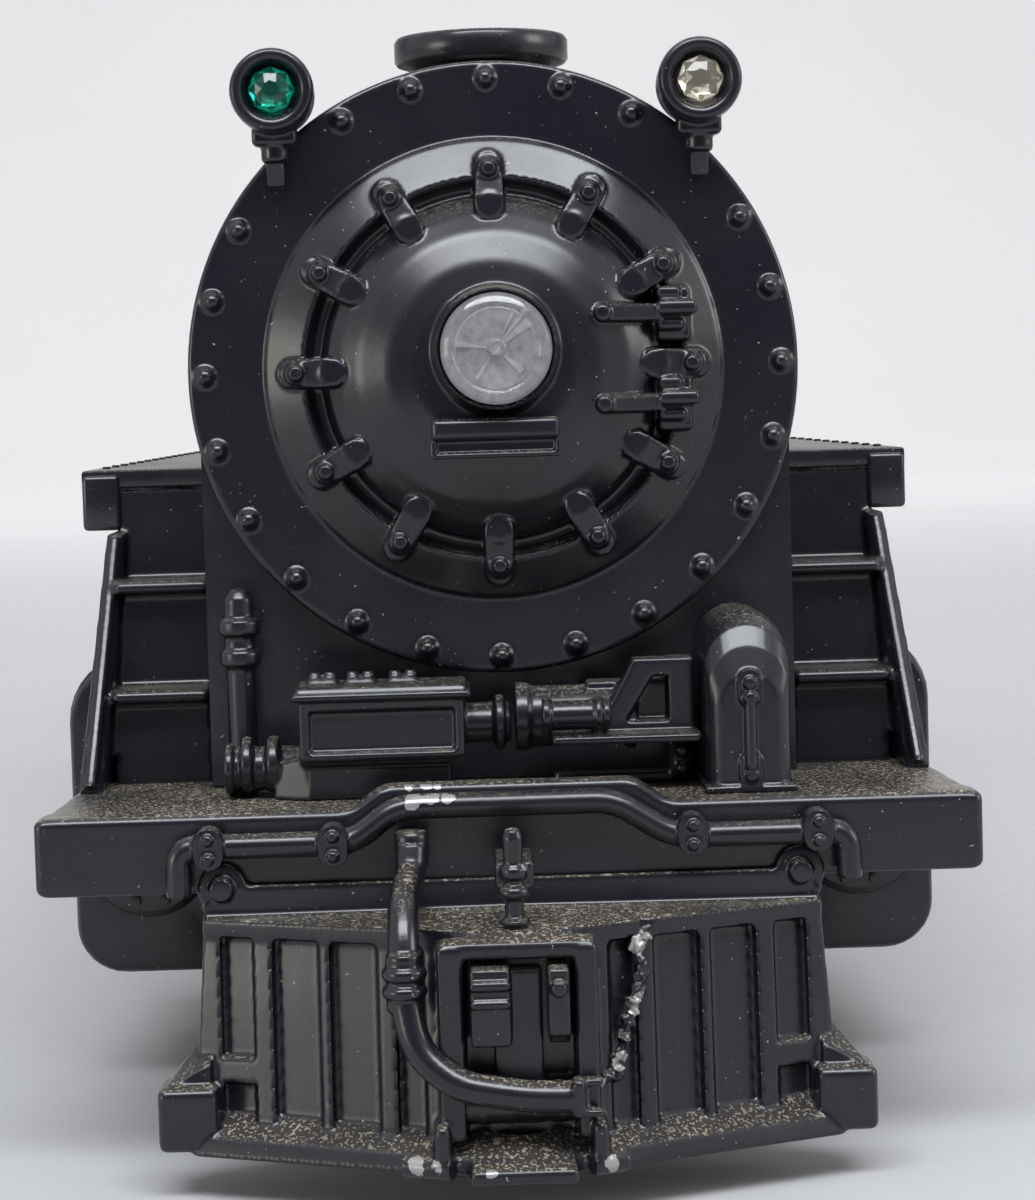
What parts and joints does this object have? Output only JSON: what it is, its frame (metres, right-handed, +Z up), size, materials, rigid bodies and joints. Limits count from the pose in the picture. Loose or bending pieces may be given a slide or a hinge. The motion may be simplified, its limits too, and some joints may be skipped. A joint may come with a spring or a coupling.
{
  "type": "model steam locomotive",
  "caption": "O gauge 4-6-4 model steam locomotive, black die-cast body over coupled drivers, gear-driven from a cross-shaft motor, with swivelling lead and trailing trucks and a drawbar",
  "frame": {"origin": "Under the middle of the engine, at the height of the lowest wheel flanges.", "axes": "+Y runs from the front of the engine to its rear, +X is the engine's left side, +Z is up."},
  "size_m": [0.0634, 0.3056, 0.0848],
  "materials": {
    "black_paint": "satin",
    "bright_steel": "satin",
    "cast_frame": "matte",
    "driver_casting": "satin",
    "truck_casting": "satin",
    "truck_wheel": "satin",
    "green_jewel": "polished",
    "clear_jewel": "polished",
    "clear_lens": "polished",
    "lamp_glass": "polished",
    "tin_plate": "satin",
    "motor_iron": "matte",
    "gear_brass": "satin",
    "bell_brass": "polished",
    "fibre_board": "matte"
  },
  "bodies": {
    "engine_body": {"boiler_shell": "black_paint", "smokebox_front": "black_paint", "headlight_lens": "clear_lens", "headlight_bulb": "lamp_glass", "number_plate": "black_paint", "smokestack": "black_paint", "sand_dome": "black_paint", "steam_dome": "black_paint", "bell_bracket": "black_paint", "cab": "black_paint", "pilot_deck": "black_paint", "pilot": "black_paint", "front_coupler": "black_paint", "coupler_pin": "black_paint", "cut_lever": "black_paint", "air_hose": "black_paint", "feedwater_pump": "black_paint", "pump_bracket": "black_paint", "pump_shield": "black_paint", "main_frame": "cast_frame", "smoke_unit": "tin_plate", "motor_field": "motor_iron", "pickup_plate": "fibre_board", "reverse_unit": "fibre_board", "marker_lamp_right": "black_paint", "marker_jewel_right": "green_jewel", "running_board_right": "black_paint", "handrail_right": "bright_steel", "front_steps_right": "black_paint", "cylinder_right": "black_paint", "crosshead_guide_right": "bright_steel", "marker_lamp_left": "black_paint", "marker_jewel_left": "clear_jewel", "running_board_left": "black_paint", "handrail_left": "bright_steel", "front_steps_left": "black_paint", "cylinder_left": "black_paint", "crosshead_guide_left": "bright_steel"},
    "bell": {"bell": "bell_brass"},
    "armature": {"armature": "motor_iron"},
    "idler_gear": {"idler_gear": "gear_brass"},
    "reverse_lever": {"reverse_lever": "bright_steel"},
    "drawbar": {"drawbar": "bright_steel"},
    "driver_front": {"driver_front": "driver_casting"},
    "driver_main": {"driver_main": "driver_casting"},
    "driver_rear": {"driver_rear": "driver_casting"},
    "side_rod_right": {"side_rod_right": "bright_steel"},
    "side_rod_left": {"side_rod_left": "bright_steel"},
    "main_rod_right": {"main_rod_right": "bright_steel"},
    "main_rod_left": {"main_rod_left": "bright_steel"},
    "crosshead_right": {"crosshead_right": "bright_steel"},
    "crosshead_left": {"crosshead_left": "bright_steel"},
    "lead_truck": {"lead_truck": "truck_casting"},
    "lead_wheels_front": {"lead_wheels_front": "truck_wheel"},
    "lead_wheels_rear": {"lead_wheels_rear": "truck_wheel"},
    "trailing_truck": {"trailing_truck": "truck_casting"},
    "trailing_wheels_front": {"trailing_wheels_front": "truck_wheel"},
    "trailing_wheels_rear": {"trailing_wheels_rear": "truck_wheel"},
    "pickup_roller_front": {"pickup_roller_front": "bright_steel"},
    "pickup_roller_rear": {"pickup_roller_rear": "bright_steel"}
  },
  "joints": [
    {"name": "drive_main", "type": "hinge", "parent": "engine_body", "child": "driver_main", "pos_m": [0, -0.0157, 0.0188], "axis": [1, 0, 0], "continuous": true},
    {"name": "drive_front", "type": "hinge", "parent": "engine_body", "child": "driver_front", "pos_m": [0, -0.0562, 0.0188], "axis": [1, 0, 0], "continuous": true},
    {"name": "drive_rear", "type": "hinge", "parent": "engine_body", "child": "driver_rear", "pos_m": [0, 0.0248, 0.0188], "axis": [1, 0, 0], "continuous": true},
    {"name": "side_rod_pin_right", "type": "hinge", "parent": "driver_main", "child": "side_rod_right", "pos_m": [-0.0206, -0.0157, 0.0123], "axis": [1, 0, 0], "continuous": true},
    {"name": "side_rod_pin_left", "type": "hinge", "parent": "driver_main", "child": "side_rod_left", "pos_m": [0.0206, -0.0222, 0.0188], "axis": [1, 0, 0], "continuous": true},
    {"name": "main_rod_pin_right", "type": "hinge", "parent": "driver_main", "child": "main_rod_right", "pos_m": [-0.0231, -0.0157, 0.0123], "axis": [1, 0, 0], "continuous": true},
    {"name": "main_rod_pin_left", "type": "hinge", "parent": "driver_main", "child": "main_rod_left", "pos_m": [0.0231, -0.0222, 0.0188], "axis": [1, 0, 0], "continuous": true},
    {"name": "idler_spin", "type": "hinge", "parent": "engine_body", "child": "idler_gear", "pos_m": [0, -0.00579, 0.03745], "axis": [1, 0, 0], "continuous": true},
    {"name": "armature_spin", "type": "hinge", "parent": "engine_body", "child": "armature", "pos_m": [0, -0.00055, 0.0492], "axis": [1, 0, 0], "continuous": true},
    {"name": "crosshead_slide_right", "type": "slide", "parent": "engine_body", "child": "crosshead_right", "axis": [0, 1, 0], "range_m": [-0.0068, 0.0061]},
    {"name": "crosshead_slide_left", "type": "slide", "parent": "engine_body", "child": "crosshead_left", "axis": [0, 1, 0], "range_m": [0, 0.013]},
    {"name": "lead_truck_swivel", "type": "hinge", "parent": "engine_body", "child": "lead_truck", "pos_m": [0, -0.1022, 0.00945], "axis": [0, 0, 1], "range_deg": [-8, 8]},
    {"name": "lead_wheels_front_spin", "type": "hinge", "parent": "lead_truck", "child": "lead_wheels_front", "pos_m": [0, -0.1152, 0.00945], "axis": [1, 0, 0], "continuous": true},
    {"name": "lead_wheels_rear_spin", "type": "hinge", "parent": "lead_truck", "child": "lead_wheels_rear", "pos_m": [0, -0.0892, 0.00945], "axis": [1, 0, 0], "continuous": true},
    {"name": "trailing_truck_swivel", "type": "hinge", "parent": "engine_body", "child": "trailing_truck", "pos_m": [0, 0.0488, 0.0102], "axis": [0, 0, 1], "range_deg": [-8, 8]},
    {"name": "trailing_wheels_front_spin", "type": "hinge", "parent": "trailing_truck", "child": "trailing_wheels_front", "pos_m": [0, 0.0658, 0.0102], "axis": [1, 0, 0], "continuous": true},
    {"name": "trailing_wheels_rear_spin", "type": "hinge", "parent": "trailing_truck", "child": "trailing_wheels_rear", "pos_m": [0, 0.0918, 0.0102], "axis": [1, 0, 0], "continuous": true},
    {"name": "pickup_roller_front_spin", "type": "hinge", "parent": "engine_body", "child": "pickup_roller_front", "pos_m": [0, -0.0422, 0.0045], "axis": [1, 0, 0], "continuous": true},
    {"name": "pickup_roller_rear_spin", "type": "hinge", "parent": "engine_body", "child": "pickup_roller_rear", "pos_m": [0, 0.0108, 0.0045], "axis": [1, 0, 0], "continuous": true},
    {"name": "drawbar_swing", "type": "hinge", "parent": "engine_body", "child": "drawbar", "pos_m": [0, 0.1108, 0.023], "axis": [0, 0, 1], "range_deg": [-25, 25]},
    {"name": "bell_swing", "type": "hinge", "parent": "engine_body", "child": "bell", "pos_m": [0, -0.0932, 0.0772], "axis": [1, 0, 0], "range_deg": [-35, 35]},
    {"name": "reverse_lever_throw", "type": "hinge", "parent": "engine_body", "child": "reverse_lever", "pos_m": [0, 0.0388, 0.064], "axis": [1, 0, 0], "range_deg": [-15, 15]}
  ],
  "couplings": [
    {"joint": "drive_front", "follows": "drive_main", "ratio": 1},
    {"joint": "drive_rear", "follows": "drive_main", "ratio": 1},
    {"joint": "side_rod_pin_right", "follows": "drive_main", "ratio": -1},
    {"joint": "side_rod_pin_left", "follows": "drive_main", "ratio": -1},
    {"joint": "main_rod_pin_right", "follows": "drive_main", "ratio": -1},
    {"joint": "main_rod_pin_left", "follows": "drive_main", "ratio": -1},
    {"joint": "idler_spin", "follows": "drive_main", "ratio": -1.3333},
    {"joint": "armature_spin", "follows": "drive_main", "ratio": 3.2}
  ]
}
